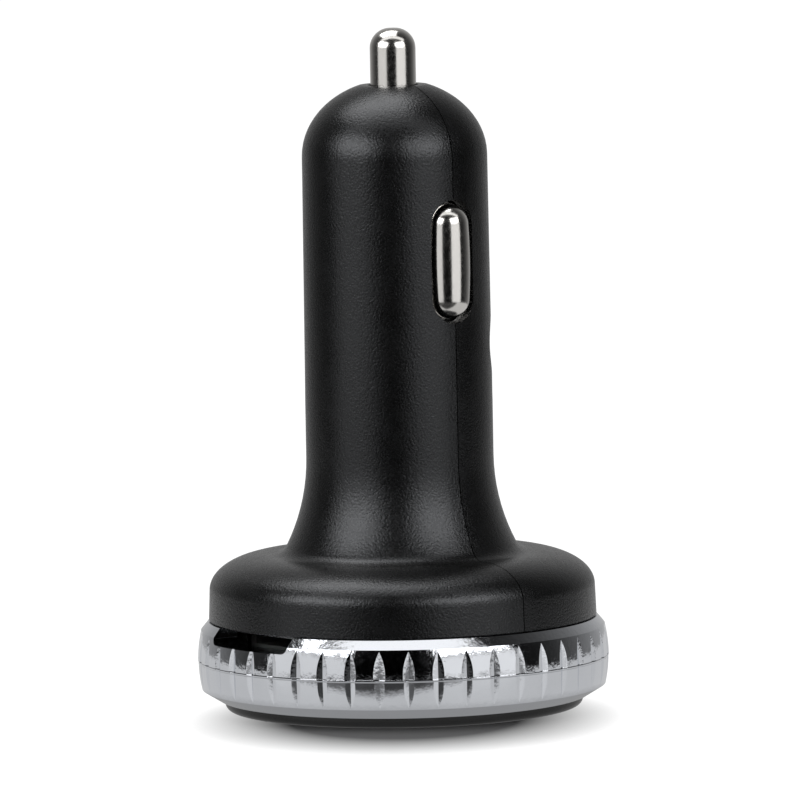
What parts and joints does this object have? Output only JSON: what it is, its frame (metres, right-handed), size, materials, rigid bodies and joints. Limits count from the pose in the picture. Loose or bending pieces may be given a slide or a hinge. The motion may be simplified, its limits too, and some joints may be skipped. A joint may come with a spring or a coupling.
{
  "type": "car fm transmitter",
  "caption": "Lighter-socket plug with sprung tip pin and side contacts on a round head with a notched chrome ring, card slot and display face; sends music to a car radio.",
  "frame": {"origin": "centre of the rim of the display face that the part rests on", "axes": "+Z along the plug towards its tip, +X towards one ground contact, -Y towards the card slot"},
  "size_m": [0.045, 0.045, 0.0745],
  "materials": {
    "shell": "fine-grained black moulding",
    "chrome": "bright plated plastic",
    "nickel": "nickel-plated metal",
    "panel": "smooth black",
    "window": "smoked clear plastic",
    "display": "dark module",
    "button": "soft black",
    "board": "green solder mask",
    "component": "black moulded case",
    "can": "sleeved can",
    "steel": "plain steel",
    "insulator": "white moulding"
  },
  "bodies": {
    "plug": {"audio_chip": "component", "board_header": "component", "board_screws": "steel", "card_socket": "steel", "chrome_ring": "chrome", "converter_chip": "component", "display_module": "display", "display_window": "window", "filter_capacitors": "can", "front_half_shell": "shell", "front_panel": "panel", "fuse": "insulator", "inductor": "component", "main_board": "board", "microphone": "can", "power_board": "board", "radio_module": "steel", "rear_half_shell": "shell", "switch_housings": "component", "tip_lead": "steel", "tip_spring": "steel", "usb_shell": "steel", "usb_tongue": "insulator"},
    "tip": {"tip_pin": "nickel"},
    "contact_right": {"ground_contact_right": "nickel"},
    "contact_left": {"ground_contact_left": "nickel"},
    "previous": {"previous_button": "button", "previous_plunger": "component"},
    "call": {"call_button": "button", "call_plunger": "component"},
    "next": {"next_button": "button", "next_plunger": "component"}
  },
  "joints": [
    {"name": "tip_press", "type": "slide", "parent": "plug", "child": "tip", "axis": [0, 0, -1], "range_m": [0, 0.005], "stiffness_N_per_m": 150, "springref_m": -0.004, "deforming": ["tip_spring"]},
    {"name": "contact_right_press", "type": "slide", "parent": "plug", "child": "contact_right", "axis": [-1, 0, 0], "range_m": [0, 0.0014], "stiffness_N_per_m": 150, "springref_m": -0.003},
    {"name": "contact_left_press", "type": "slide", "parent": "plug", "child": "contact_left", "axis": [1, 0, 0], "range_m": [0, 0.0014], "stiffness_N_per_m": 150, "springref_m": -0.003},
    {"name": "previous_press", "type": "slide", "parent": "plug", "child": "previous", "axis": [0, 0, 1], "range_m": [0, 0.0004], "stiffness_N_per_m": 20, "springref_m": -0.002},
    {"name": "call_press", "type": "slide", "parent": "plug", "child": "call", "axis": [0, 0, 1], "range_m": [0, 0.0004], "stiffness_N_per_m": 20, "springref_m": -0.002},
    {"name": "next_press", "type": "slide", "parent": "plug", "child": "next", "axis": [0, 0, 1], "range_m": [0, 0.0004], "stiffness_N_per_m": 20, "springref_m": -0.002}
  ]
}
